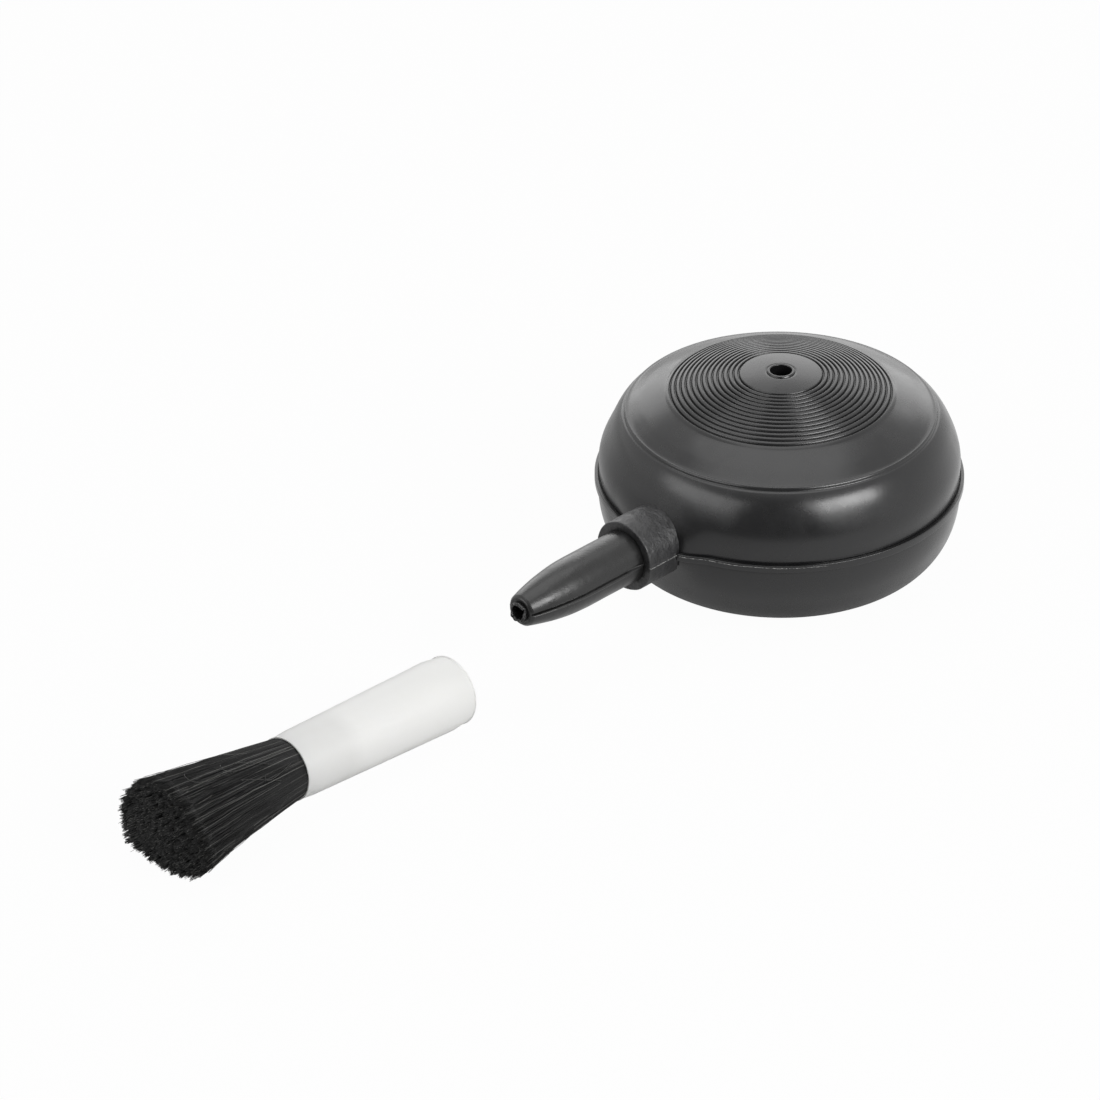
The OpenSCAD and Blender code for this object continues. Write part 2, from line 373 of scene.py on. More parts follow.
bulbPvc = satinPvc("satinPvcBulb", "#151516", 0.25, 1.53, cloud=4.0, grain=0.6, bump=0.005)
collarPvc = satinPvc("mattPvcCollar", "#202021", 0.42, 1.55, cloud=1.5, grain=1.2, bump=0.2)
nozzlePvc = satinPvc("satinPvcNozzle", "#161616", 0.3, 1.52, cloud=1.8, grain=1.0, bump=0.04)


# Flash along the parting line: pale grey with paler specks, the grey a painted highlight along the edge that
# catches light
def flashPvcWithPaintedHighlight():
    material, add = newMaterial("flashPvcPaintedHighlight")
    place = add("TexCoord")
    specks = add("TexNoise", {}, {"Vector": place.outputs["Object"], "Scale": 1 / (0.3 * mm), "Detail": 2.0})
    share = setRamp(add("ValToRGB", {}, {"Fac": specks}), [(0.4, 0), (0.66, 1)])
    colour = add("Mix", {"data_type": "RGBA"},
                 {"Factor": share, 6: linearColour("#3c3c3d"), 7: linearColour("#b4b4b2")})
    surface = add("BsdfPrincipled", {}, {"Base Color": colour.outputs[2], "Roughness": 0.6, "IOR": 1.53})
    add("OutputMaterial", {}, {"Surface": surface})
    return material


flashPvc = flashPvcWithPaintedHighlight()

# Bulb, in millimetres. The wall is widest a little above and below the lip.
bulb = {
    "lipStand": 0.5,
    "lipHalf": 0.8,
    "lipTop": 0.28,
    "lipWidth": 0.47,
    "lipRound": 0.12,
    "wall": 1.6,
    "shoulderIn": 6.6,
    "shoulderLift": 2.8,
    "shoulderHeight": 8.4,
    "shoulderStart": -8,  # degrees
    "bowlDrop": 1.8,
    "bowlDepth": 9.8,
    "bowlEnd": -73,
    "footRadius": 9.0,
    "beadIn": 3.5,
    "bead": ((0.36, 0.0), (0.23, -0.09), (0.15, -0.12), (0.08, -0.04), (0.02, 0.1), (-0.05, 0.19),
             (-0.14, 0.22), (-0.27, 0.14), (-0.45, 0.03)),  # steps outwards and up from the plate's edge
    "plateRise": 6.3,
    "plateauHeight": 0.12,
    "rimHeight": 0.15,
    "rimWidth": 0.42,
    "holeRadius": 1.55,
    "angles": 256,
    "stepsPerPitch": 14,  # rings of the mesh from one groove to the next
    "ripple": 0.02,
    "rippleLength": 9.0,
    "shapeFrom": 20,  # radius where the wall starts to swell and flatten
    "neckSwell": 1.0,
    "neckSwellFar": 0.25,  # share of the swell on the far side
    "neckReach": 9.5,
    "neckHeight": 3.2,
    "flatIn": 0.3,
    "dentIn": 0.4,
    "dentSide": 134,
    "dentLevel": 6.9,
    "dentHeight": 2.9,
    "cutIn": 0.3,  # the neck's hole: how much smaller than the collar, and from where to where
    "cutFrom": 15,
    "cutTo": 40,
    "stillHeight": 0.9,  # a height above the parting plane
}
grooves = {"Count": 14, "First Radius": 5.95, "Pitch": 0.74, "Width": 0.46, "Depth": 0.37, "Softness": 0.18}

wallRadius = lipRadius - bulb["lipStand"]
shoulderRadius = wallRadius - bulb["shoulderIn"]
shoulderLevel = middle + bulb["shoulderLift"]
bowlLevel = middle - bulb["bowlDrop"]
beadRadius = wallRadius - bulb["beadIn"]
lastGroove = grooves["First Radius"] + (grooves["Count"] - 1) * grooves["Pitch"]
plateauRadius = lastGroove + grooves["Width"] / 2 + grooves["Pitch"] / 3


def shoulderAt(radius):
    out = (radius - shoulderRadius) / bulb["shoulderIn"]
    return shoulderLevel + bulb["shoulderHeight"] * math.sqrt(1 - out ** 2)


beadLevel = shoulderAt(beadRadius)
plateBall = (beadRadius ** 2 + bulb["plateRise"] ** 2) / (2 * bulb["plateRise"])
plateCentre = beadLevel + bulb["plateRise"] - plateBall


def plateAt(radius, inset=0):
    return plateCentre + math.sqrt((plateBall - inset) ** 2 - radius ** 2)


def smooth(share):
    share = max(0, min(1, share))
    return share * share * (3 - 2 * share)


# A soft moulded wall: it swells round the neck's root, the shoulder is a little flat, and more so on one side
def bulbShape(spot, radius, angle):
    wave = noise.noise(spot / bulb["rippleLength"]) * bulb["ripple"]
    spot = spot + Vector((spot.x, spot.y, spot.z - middle)).normalized() * wave * min(1, radius / 8)
    if radius < bulb["shapeFrom"]:
        return spot
    fromNeck = abs(spot.y) if spot.x < 0 else bulb["neckReach"]
    grow = smooth((bulb["neckReach"] - fromNeck) / (bulb["neckReach"] - collarRadius)) * bulb["neckSwell"]
    share = 1 if spot.y < 0 else bulb["neckSwellFar"]
    grow *= math.exp(-((spot.z - middle) / bulb["neckHeight"]) ** 2) * share
    side = smooth(math.cos(angle - math.radians(bulb["dentSide"])) * 2 - 1)
    high = math.exp(-((spot.z - middle - bulb["dentLevel"]) / bulb["dentHeight"]) ** 2)
    grow -= (bulb["flatIn"] + bulb["dentIn"] * side) * high
    return spot + Vector((math.cos(angle), math.sin(angle), 0)) * grow


def between(start, end, steps, height):  # points along a surface that is a height at each radius
    radii = [start + (end - start) * i / steps for i in range(steps + 1)]
    return [(radius, height(radius)) for radius in radii]


def topOutline(sizes):
    lip = rounded([(lipRadius, middle, 0), (lipRadius, middle + sizes["lipTop"], sizes["lipRound"]),
                   (lipRadius - sizes["lipWidth"], middle + sizes["lipTop"] + 0.02, 0.06),
                   (wallRadius - 0.1, middle + 0.2, 0.04), (wallRadius - 0.05, middle + 0.55, 0)])[:-1]
    endAngle = math.degrees(math.acos((beadRadius + 0.53 - shoulderRadius) / sizes["shoulderIn"]))
    shoulder = ellipseArc((shoulderRadius, shoulderLevel), (sizes["shoulderIn"], sizes["shoulderHeight"]),
                          sizes["shoulderStart"], endAngle, 26)
    bead = [(beadRadius + out, (shoulderAt if out > 0 else plateAt)(beadRadius + out) + lift)
            for out, lift in sizes["bead"]]
    plate = between(beadRadius - 0.7, plateauRadius + 0.34, 12, plateAt)
    raised = lambda radius: plateAt(radius) + sizes["plateauHeight"]
    step = [(plateauRadius + 0.22, plateAt(plateauRadius + 0.22) + 0.02),
            (plateauRadius + 0.1, plateAt(plateauRadius + 0.1) + sizes["plateauHeight"] * 0.75)]
    perPitch = sizes["stepsPerPitch"]
    ringSteps = (grooves["Count"] - 1) * perPitch + 12
    inside = grooves["First Radius"] - grooves["Pitch"] * 6 / perPitch
    ringed = between(inside + grooves["Pitch"] * ringSteps / perPitch, inside, ringSteps, raised)
    rimOuter = sizes["holeRadius"] + sizes["rimWidth"]
    disc = between(inside - 0.25, rimOuter + 0.15, 10, raised)
    rimTop = raised(rimOuter) + sizes["rimHeight"]
    rim = rounded([(rimOuter + 0.03, raised(rimOuter) - 0.06, 0.02), (rimOuter - 0.08, rimTop, 0.09),
                   (sizes["holeRadius"], rimTop, 0.14), (sizes["holeRadius"], rimTop - 0.8, 0)])
    under = between(sizes["holeRadius"], beadRadius, 16, lambda radius: plateAt(radius, sizes["wall"]))
    innerSize = (sizes["shoulderIn"] - sizes["wall"], sizes["shoulderHeight"] - sizes["wall"])
    innerEnd = math.degrees(math.acos((beadRadius - shoulderRadius + 0.3) / innerSize[0]))
    inner = ellipseArc((shoulderRadius, shoulderLevel), innerSize, innerEnd, 0, 12)
    foot = [(wallRadius - sizes["wall"], middle)]
    return lip + shoulder + bead + plate + step + ringed + disc + rim + under + inner + foot


def grooveTree(sizes):  # presses evenly spaced grip grooves into the plate
    tree, add, given = newGroup("gripGrooves", sizes, True)
    place = add("GeometryNodeInputPosition")
    flat = add("VectorMath", "MULTIPLY", [place, (1, 1, 0)])
    radius = add("VectorMath", "LENGTH", [flat])
    outward = add("Math", "SUBTRACT", [radius.outputs["Value"], given["First Radius"]])
    turns = add("Math", "DIVIDE", [outward, given["Pitch"]])
    nearest = add("Math", "ROUND", [turns])
    last = add("Math", "SUBTRACT", [given["Count"], 1.0])
    groove = add("Clamp", {}, {"Value": nearest, "Min": 0.0, "Max": last})
    beside = add("Math", "SUBTRACT", [turns, groove])
    distance = add("Math", "MULTIPLY", [beside, given["Pitch"]])
    away = add("Math", "ABSOLUTE", [distance])
    half = add("Math", "DIVIDE", [given["Width"], 2.0])
    deep = add("Math", "SUBTRACT", [half, given["Softness"]])
    share = add("MapRange", {"interpolation_type": "SMOOTHSTEP"},
                {"Value": away, "From Min": deep, "From Max": half, "To Min": given["Depth"], "To Max": 0.0})
    down = add("Math", "MULTIPLY", [share, -1.0])
    move = add("CombineXYZ", {}, {"Z": down})
    onTop = add("GeometryNodeInputNamedAttribute", {"data_type": "BOOLEAN"}, {"Name": "gripArea"})
    pressed = add("GeometryNodeSetPosition", {},
                  {"Geometry": given["Geometry"], "Selection": onTop.outputs["Attribute"], "Offset": move})
    realized = add("GeometryNodeRealizeInstances", {}, {"Geometry": pressed})
    painted = add("GeometryNodeSetMaterial", {}, {"Geometry": realized, "Material": bulbPvc})
    add("NodeGroupOutput", {}, {"Geometry": painted})
    return tree


def useTree(piece, tree, values):
    modifier = piece.modifiers.new(tree.name, "NODES")
    modifier.node_group = tree
    for item in tree.interface.items_tree:
        if item.in_out == "INPUT" and item.name in values:
            modifier[item.identifier] = values[item.name]
    return applyModifiers(piece)


def cutForNeck(piece):  # opens the wall where the neck's collar passes through it
    radius = collarRadius - bulb["cutIn"]
    outline = [(0, bulb["cutFrom"]), (radius, bulb["cutFrom"]), (radius, bulb["cutTo"]), (0, bulb["cutTo"])]
    mesh = turned("neckCutter", outline, evenAngles(64), neckFrame)
    closeShell(mesh)
    mesh.transform(Matrix.Scale(mm, 4))
    cutter = newObject("neckCutter", mesh)
    modifier = piece.modifiers.new("neckCut", "BOOLEAN")
    modifier.operation, modifier.solver, modifier.object = "DIFFERENCE", "EXACT", cutter
    applyModifiers(piece)
    bpy.data.objects.remove(cutter)


def makeBulbTop():
    outline = topOutline(bulb)
    mesh = turned("bulbTop", outline, evenAngles(bulb["angles"]), bulbFrame, bulbShape)
    closeShell(mesh)
    holder = newObject("bulbTop", mesh)
    area = mesh.attributes.new("gripArea", "BOOLEAN", "POINT")
    for vertex, mark in zip(mesh.vertices, area.data):
        radius = math.hypot(vertex.co.x, vertex.co.y)
        mark.value = vertex.co.z > plateAt(radius) and 5 < radius < plateauRadius
    mesh = useTree(holder, grooveTree(grooves), grooves)
    mesh.attributes.remove(mesh.attributes["gripArea"])
    bpy.data.objects.remove(holder)
    piece = addPiece("bulbTop", mesh, [bulbPvc], 80)
    cutForNeck(piece)
    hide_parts("upper_shell", "press_pad")
    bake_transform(piece)


def bowlOutline(sizes):
    foot, wall, wide, deep = sizes["footRadius"], sizes["wall"], sizes["shoulderIn"], sizes["bowlDepth"]
    lipUnder = middle - sizes["lipHalf"]
    lip = rounded([(lipRadius, middle, 0), (lipRadius, lipUnder, sizes["lipRound"]),
                   (wallRadius - 0.1, lipUnder, 0)])
    outer = ellipseArc((shoulderRadius, bowlLevel), (wide, deep), 5, sizes["bowlEnd"], 24)
    inner = ellipseArc((shoulderRadius, bowlLevel), (wide - wall, deep - wall), sizes["bowlEnd"], 0, 14)

    def underside(edge, level):  # an arc from the end of the bowl's curve in to the flat
        run, rise = edge[0] - foot, edge[1] - level
        ball = (run ** 2 + rise ** 2) / (2 * rise)
        arc = lambda radius: level + ball - math.sqrt(ball ** 2 - (radius - foot) ** 2)
        return between(edge[0], foot, 14, arc)[1:]
    base = [(6, 0), (3, 0), (0, 0), (0, wall)]
    under, inside = underside(outer[-1], 0), underside(inner[0], wall)[::-1]
    return lip + outer + under + base + inside + inner + [(wallRadius - wall, middle)]


def makeBulbBowl():
    mesh = turned("bulbBowl", bowlOutline(bulb), evenAngles(bulb["angles"]), bulbFrame, bulbShape)
    for vertex in mesh.vertices:
        vertex.co.z = max(vertex.co.z, 0)
    closeShell(mesh)
    piece = addPiece("bulbBowl", mesh, [bulbPvc], 50)
    cutForNeck(piece)
    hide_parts("lower_shell")
    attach(piece, "blower")


makeBulbTop()
makeBulbBowl()
print("bulb built")

# Neck: collar and nozzle, in millimetres along the nozzle's axis from the bulb's axis
neck = {
    "inner": wallRadius - bulb["wall"] - 0.8,
    "nozzleRadius": mounts["nozzle_root"]["dims"]["r_mm"],
    "spigotRadius": 3.2,
    "tipRadius": 2.0,
    "noseLength": 12,
    "outletRadius": mounts["air_outlet"]["dims"]["r_mm"],
    "outletLength": 3,
    "passageRadius": 2.3,
    "lipRadius": 1.45,
    "lipLength": 0.6,
    "creviceDepth": 0.42,
    "creviceAt": 4.8,  # degrees above the parting line, then how wide
    "creviceWidth": 3.0,
    "ridgeHeight": 0.09,
    "ridgeAt": -0.5,
    "ridgeWidth": 1.8,
    "ripple": 0.025,
    "rippleLength": 3.0,
    "nickSide": 300,
    "nickWidth": 14,
    "nickDepth": 0.35,
    "ragged": 0.22,
    "wobble": 0.07,
    "rough": 0.05,
    "roughFine": 1.6,
    "roughWide": 5,
    "collarSeam": 0.15,  # share of the parting line's depth on the collar
}


def noseAt(back):  # radius of the nose at a distance back from the tip
    share = 1 - (1 - back / neck["noseLength"]) ** 2
    return neck["tipRadius"] + (neck["nozzleRadius"] - neck["tipRadius"]) * share


def seamAngles(count):  # even angles, with more of them close to the two parting lines
    near = [math.radians(side + step) for side in (90, 270)
            for step in (-10, -8.5, -7, -6, -5, -4, -3, -2, -1, 0, 1, 2, 3, 4, 5, 6, 7, 8.5, 10)]
    far = [a for a in evenAngles(count) if min(abs(math.degrees(a) - 90), abs(math.degrees(a) - 270)) > 11]
    return sorted(near + far)


def partingSeam(angle):  # how far the surface moves out: a crevice above the parting line, a ridge at it
    above = math.degrees(math.asin(math.cos(angle)))
    crevice = math.exp(-((above - neck["creviceAt"]) / neck["creviceWidth"]) ** 2) * neck["creviceDepth"]
    ridge = math.exp(-((above - neck["ridgeAt"]) / neck["ridgeWidth"]) ** 2) * neck["ridgeHeight"]
    return ridge - crevice


def nozzleShift(spot, radius, angle):
    fromTip = nozzleTip - spot.z
    grow = 1 + partingSeam(angle) / radius if radius > 2.05 and fromTip > 1 and spot.z > collarFace else 1
    ripple = noise.noise(spot / neck["rippleLength"]) * neck["ripple"]
    spot = Vector((spot.x * (grow + ripple / radius), spot.y * (grow + ripple / radius), spot.z))
    if fromTip < 0.3:  # the tip was cut by hand: an uneven edge with one deep nick
        aside = (math.degrees(angle) - neck["nickSide"]) / neck["nickWidth"]
        nick = math.exp(-aside ** 2) * neck["nickDepth"]
        ragged = noise.noise(Vector((math.cos(angle) * 2.2, math.sin(angle) * 2.2, radius))) * neck["ragged"]
        spot.z += min(0.08, ragged - 0.08) - nick
        spot.x += noise.noise(Vector((angle * 2.5, 4, radius))) * neck["wobble"]
        spot.y += noise.noise(Vector((angle * 2.5, 9, radius))) * neck["wobble"]
    return spot


def nozzleOutline(sizes):
    inner, passage, spigot, lip = [sizes[key]
                                   for key in ("inner", "passageRadius", "spigotRadius", "lipRadius")]
    full, length, outlet = sizes["nozzleRadius"], sizes["noseLength"], sizes["outletRadius"]
    root = rounded([(passage, inner, 0), (spigot, inner, 0), (spigot, collarFace - 0.02, 0),
                    (full, collarFace - 0.02, 0.05)])
    straight = [(full, collarFace + (nozzleTip - length - collarFace) * i / 6) for i in range(1, 6)]
    noseEnd = sizes["lipLength"] + 0.55
    backs = [length + (noseEnd - length) * i / 26 for i in range(27)]
    nose = [(noseAt(back), nozzleTip - back) for back in backs]
    lipBack = nozzleTip - sizes["lipLength"]
    tip = rounded([(noseAt(noseEnd - 0.1), nozzleTip - noseEnd + 0.1, 0), (1.95, lipBack - 0.02, 0.16),
                   (lip - 0.2, lipBack - 0.12, 0.1), (lip, lipBack + 0.25, 0.06), (lip, nozzleTip, 0.12),
                   (outlet + 0.02, nozzleTip, 0.12), (outlet, nozzleTip - 0.6, 0)])
    boreEnd = nozzleTip - sizes["outletLength"]
    return root + straight + nose + tip + [(outlet, boreEnd), (passage, boreEnd - 3)]


def collarShift(spot, radius, angle):
    fine = noise.noise(spot / neck["roughFine"]) * neck["rough"]
    wide = noise.noise(spot / neck["roughWide"] + Vector((7, 0, 0))) * neck["rough"]
    rough = fine + wide
    grow = 1 + (partingSeam(angle) * neck["collarSeam"] + rough) / radius if radius > 4.4 else 1
    return Vector((spot.x * grow, spot.y * grow, spot.z + (rough * 0.6 if spot.z > collarFace - 1 else 0)))


def collarOutline(sizes):
    inner, full, spigot = sizes["inner"], sizes["nozzleRadius"], sizes["spigotRadius"]
    outer = [(collarRadius, inner + 0.01 + (collarFace - 0.4 - inner) * i / 14) for i in range(15)]
    edge = rounded([(collarRadius, collarFace - 0.35, 0), (collarRadius, collarFace, 0.2),
                    (full + 0.5, collarFace - 0.04, 0)])
    face = [(full + 0.22, collarFace - 0.06), (full - 0.06, collarFace - 0.16), (spigot, collarFace - 0.16),
            (spigot, inner)]
    return outer + edge + face


def makeNeck():
    mesh = turned("neckCollar", collarOutline(neck), seamAngles(120), neckFrame, collarShift)
    closeShell(mesh)
    collar = addPiece("neckCollar", mesh, [collarPvc], 50)
    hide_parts("neck_collar")
    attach(collar, "blower")
    mesh = turned("nozzleTube", nozzleOutline(neck), seamAngles(120), neckFrame, nozzleShift)
    closeShell(mesh)
    nozzle = addPiece("nozzleTube", mesh, [nozzlePvc], 50)
    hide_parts("nozzle")
    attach(nozzle, "blower")


makeNeck()

# Flash left along the parting line, in millimetres: its height, how much that varies, half its width, and
# the length of its specks
flash = {
    "lip": (0.05, 0.07, 0.05, 0.45),
    "collar": (0.08, 0.14, 0.08, 0.6),
    "lipEnd": 238,
    "sunk": 0.25,
    "step": 0.16,
}


def flashAlong(line, outwards, sizes, points, faces):  # a ragged fin along a line
    height, varied, halfWidth, speck = sizes
    first = len(points)
    for spot, outward in zip(line, outwards):
        wild = noise.noise(spot / speck) + 0.5 * noise.noise(spot / (speck * 0.35) + Vector((3, 3, 3)))
        tall = max(-0.08, height + wild * varied)
        lift = Vector((0, 0, noise.noise(spot / 2.0 + Vector((0, 0, 8))) * 0.05))
        for side, out in ((-1, -flash["sunk"]), (-0.45, tall), (0.45, tall), (1, -flash["sunk"])):
            points.append(spot + outward * out + lift + Vector((0, 0, halfWidth * side)))
    last = len(points) - 4
    faces += sideFaces(first, last, 4)
    faces += [(first, first + 1, first + 2, first + 3), (last + 3, last + 2, last + 1, last)]


def makeFlash():
    points, faces = [], []
    step = flash["step"]
    start, end = math.pi + math.asin(collarRadius / lipRadius) - 0.02, math.radians(flash["lipEnd"])
    count = round((end - start) * lipRadius / step)
    turns = [start + (end - start) * i / count for i in range(count + 1)]
    outwards = [Vector((math.cos(a), math.sin(a), 0)) for a in turns]
    line = [bulbShape(Vector((0, 0, middle)) + out * lipRadius, lipRadius, a)
            for a, out in zip(turns, outwards)]
    flashAlong(line, outwards, flash["lip"], points, faces)
    for side in (-1, 1):
        out = Vector((0, side, 0))
        begin = math.sqrt(lipRadius ** 2 - collarRadius ** 2) + bulb["neckSwell"] - 0.3
        reach = collarFace - begin
        count = round(reach / step)
        line = [Vector((-begin - reach * i / count, side * collarRadius, middle)) for i in range(count + 1)]
        flashAlong(line, [out] * len(line), flash["collar"], points, faces)
    mesh = bpy.data.meshes.new("partingFlash")
    mesh.from_pydata(points, [], faces)
    closeShell(mesh)
    piece = addPiece("partingFlash", mesh, [flashPvc], 60)
    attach(piece, "blower")


makeFlash()
print("neck built")


# Low-density polyethylene, moulded: milky white, light sinks in a little, with painted shade, greyer over the
# black roots behind the wall
def milkyPolyethylene():
    material, add = newMaterial("milkyPolyethylene")
    place = add("TexCoord")
    roots = add("Attribute", {"attribute_name": "rootShade"})
    clouds = add("TexNoise", {}, {"Vector": place.outputs["Object"], "Scale": 1 / (6 * mm), "Detail": 3.0})
    fine = add("TexNoise", {}, {"Vector": place.outputs["Object"], "Scale": 1 / (0.6 * mm), "Detail": 3.0})
    colour = add("Mix", {"data_type": "RGBA"},
                 {"Factor": roots.outputs["Fac"], 6: linearColour("#e9e9e7"), 7: linearColour("#dfdfdd")})
    gloss = add("MapRange", {}, {"Value": clouds, "To Min": 0.38, "To Max": 0.5})
    relief = add("Bump", {}, {"Height": fine, "Strength": 0.2, "Distance": 0.02 * mm})
    surface = add("BsdfPrincipled", {},
                  {"Base Color": colour.outputs[2], "Roughness": gloss, "IOR": 1.51,
                   "Subsurface Weight": 0.35, "Subsurface Radius": (1.0, 1.0, 0.95),
                   "Subsurface Scale": 1.2 * mm, "Normal": relief})
    add("OutputMaterial", {}, {"Surface": surface})
    return material


ferrulePlastic = milkyPolyethylene()

# Brush, in millimetres along its axis from the ferrule's open end
brush = {
    "mouthRadius": 5.2,
    "frontRadius": 4.7,
    "ferruleLength": 31.7,
    "socketRadius": socket["dims"]["r_mm"],
    "socketDepth": socket["dims"]["length_mm"],
    "rootRadius": 4.2,
    "rimRound": 0.16,
    "glueEnd": 24.5,
    "tubeEnd": 35.7,
    "tubeRadius": 1.0,
    "threadFrom": 25.5,
    "threadTo": 27.5,
    "threadDepth": 0.5,
    "length": 56.0,
    "tuftRadius": 7.9,
    "coreShort": 6,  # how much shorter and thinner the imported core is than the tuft
    "coreIn": 2,
    "coreSlack": 0.15,
    "waveLength": 12,
    "wave": 0.004,
}


def ferruleOutline(sizes):
    end, mouthRadius, frontRadius = sizes["ferruleLength"], sizes["mouthRadius"], sizes["frontRadius"]
    socketRadius, rootRadius, rim = sizes["socketRadius"], sizes["rootRadius"], sizes["rimRound"]
    outside = [(mouthRadius + (frontRadius - mouthRadius) * i / 12, end * i / 12) for i in range(1, 12)]
    mouth = rounded([(socketRadius, 0.6, 0), (socketRadius + 0.1, 0, 0.22), (mouthRadius, 0, 0.35)])
    front = rounded([(frontRadius, end, rim), (rootRadius, end, rim)])
    inside = [(rootRadius, sizes["socketDepth"] + 0.02), (socketRadius, sizes["socketDepth"] - 0.02)]
    return mouth + outside + front + inside


def ferruleShift(spot, radius, angle):  # a moulded tube is never quite round or straight
    wave = 1 + noise.noise(spot / brush["waveLength"]) * brush["wave"]
    return Vector((spot.x * wave, spot.y * wave, spot.z))


def makeFerrule():
    mesh = turned("ferruleTube", ferruleOutline(brush), evenAngles(128), bulbFrame, ferruleShift)
    # rootShade marks painted shade: greyer towards the front, over the roots, with a wandering edge
    shade = mesh.attributes.new("rootShade", "FLOAT", "POINT")
    for vertex, mark in zip(mesh.vertices, shade.data):
        wander = noise.noise(vertex.co / 3.5) * 1.5
        along = (vertex.co.z + wander - brush["socketDepth"] + 0.5) / 3.0
        mark.value = max(0, min(1, along))
    mesh.transform(brushFrame)
    closeShell(mesh)
    piece = addPiece("ferruleTube", mesh, [ferrulePlastic], 50)
    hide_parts("ferrule")
    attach(piece, "brush")


makeFerrule()
print("ferrule built")


# Dyed goat hair: nearly black, each hair a little different in tone, the palest few a painted glint, with a
# silky shine along its length
def goatHair(name, dark, light):
    material, add = newMaterial(name)
    shade = add("Attribute", {"attribute_name": "hairShade"})
    spread = setRamp(add("ValToRGB", {}, {"Fac": shade.outputs["Fac"]}), [(0.84, 0), (0.97, 1)])
    colour = add("Mix", {"data_type": "RGBA"},
                 {"Factor": spread, 6: linearColour(dark), 7: linearColour(light)})
    surface = add("BsdfPrincipled", {}, {"Base Color": colour.outputs[2], "Roughness": 0.36, "IOR": 1.42})
    add("OutputMaterial", {}, {"Surface": surface})
    return material


hairMaterial = goatHair("dyedGoatHair", "#0a0a0a", "#5c5c59")
# pale grey hair: a painted glint, for the loose hairs
paleHair = goatHair("paleGoatHairPaintedGlint", "#4a4a48", "#7a7a78")

innerHairs = {
    "Hairs": 8200,
    "Sides": 3,
    "Segments": 2,
    "Inner Share": 0.0,
    "Root Radius": 4.05,
    "Root Height": 29.5,
    "Flare": 7.02 / 4.05,
    "Length": 26.0,
    "Hair Radius": 0.07,
    "Taper": 0.3,
    "Clump Spacing": 0.5,
    "Clump Pull": 0.6,
    "Clump Lean": 0.25,
    "Clump Length": 0.8,
    "Hair Lean": 0.14,
    "Hair Length": 0.2,
    "Cut Depth": 3.0,
    "Cut Side": math.radians(208),
    "Sway": 0.5,
    "Sway Side": math.radians(248),
    "Wave Length": 0.9,
    "Wave Size": 0.75,
    "Seed": 3,
}
outerHairs = dict(innerHairs, **{
    "Hairs": 4200,
    "Segments": 10,
    "Inner Share": 0.9,
    "Root Radius": 4.12,
    "Flare": 7.4 / 4.12,
    "Hair Radius": 0.055,
    "Taper": 0.4,
    "Clump Spacing": 0.3,
    "Clump Pull": 0.55,
    "Clump Lean": 0.45,
    "Clump Length": 1.0,
    "Hair Lean": 0.3,
    "Hair Length": 0.25,
    "Seed": 11,
})
strayHairs = dict(outerHairs, **{
    "Hairs": 36,
    "Inner Share": 0.97,
    "Root Radius": 4.2,
    "Flare": 7.6 / 4.2,
    "Hair Radius": 0.045,
    "Clump Pull": 0.0,
    "Clump Lean": 0.0,
    "Hair Lean": 0.55,
    "Hair Length": 0.6,
    "Seed": 5,
})


